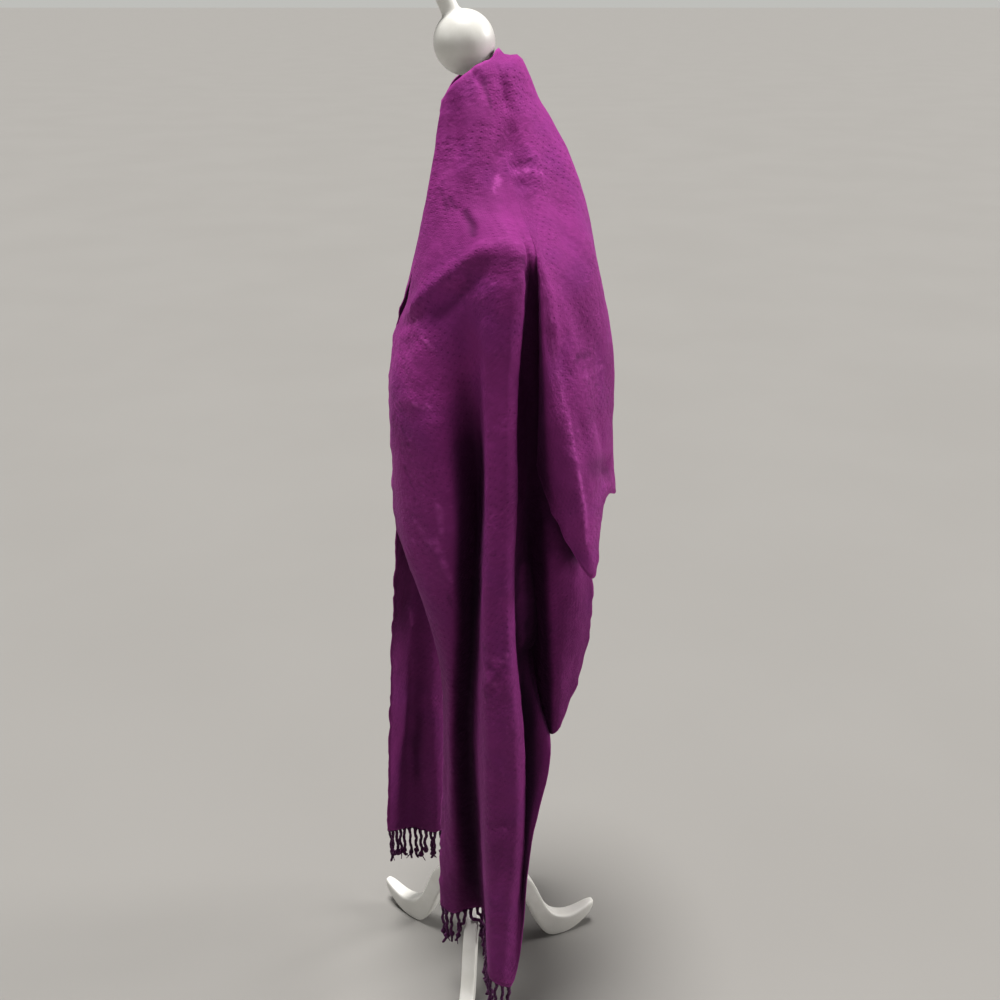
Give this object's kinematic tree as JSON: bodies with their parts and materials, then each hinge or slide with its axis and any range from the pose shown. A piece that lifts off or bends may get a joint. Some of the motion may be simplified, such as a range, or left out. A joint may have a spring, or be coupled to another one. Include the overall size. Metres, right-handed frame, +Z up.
{
  "type": "pashmina scarf on a dress form stand",
  "caption": "Long fringed pashmina scarf draped as a high collar over a limbless dress form, its ends hanging down the front, on a tripod stand.",
  "frame": {"origin": "centre of the bounding box on the floor", "axes": "+Z up; the dress form faces -X, so its back and the scarf's middle are towards +X and its left shoulder is towards -Y"},
  "size_m": [0.3064, 0.3402, 1.2584],
  "materials": {
    "pashmina": "soft dobby weave with a light sheen",
    "fringe": "twisted yarn",
    "jersey": "smooth knitted cover",
    "painted_wood": "white satin paint",
    "painted_pole": "white gloss paint"
  },
  "bodies": {
    "root": {"torso": "jersey", "neck_cap": "painted_wood", "finial": "painted_wood", "base_plate": "painted_wood", "pole": "painted_pole", "hub": "painted_wood", "leg_1": "painted_wood", "leg_2": "painted_wood", "leg_3": "painted_wood", "scarf_front_near": "pashmina", "scarf_back": "pashmina", "scarf_front_far": "pashmina", "fringe_near": "fringe", "fringe_far": "fringe"}
  },
  "joints": []
}
